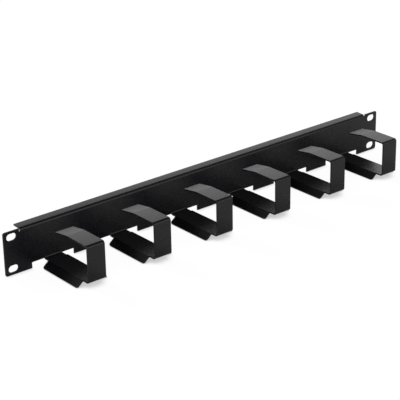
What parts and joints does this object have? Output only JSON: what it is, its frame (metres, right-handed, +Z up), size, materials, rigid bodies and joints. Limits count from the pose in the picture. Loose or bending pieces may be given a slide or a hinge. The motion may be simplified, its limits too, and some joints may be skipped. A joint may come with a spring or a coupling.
{
  "type": "horizontal cable manager",
  "caption": "Folded black steel rack panel with a row of open rings along its front that guide cables sideways.",
  "frame": {"origin": "centre of the panel's rear face, which lies on the rack rails; also the centre of the four slots", "axes": "+X along the panel, to the right seen from the front; +Y towards the rack; +Z up; the rings stand out towards -Y"},
  "size_m": [0.4826, 0.0819, 0.0441],
  "materials": {
    "powder_coat": "satin black powder coat with a fine even texture"
  },
  "bodies": {
    "root": {"ring_panel": "powder_coat"}
  },
  "joints": []
}
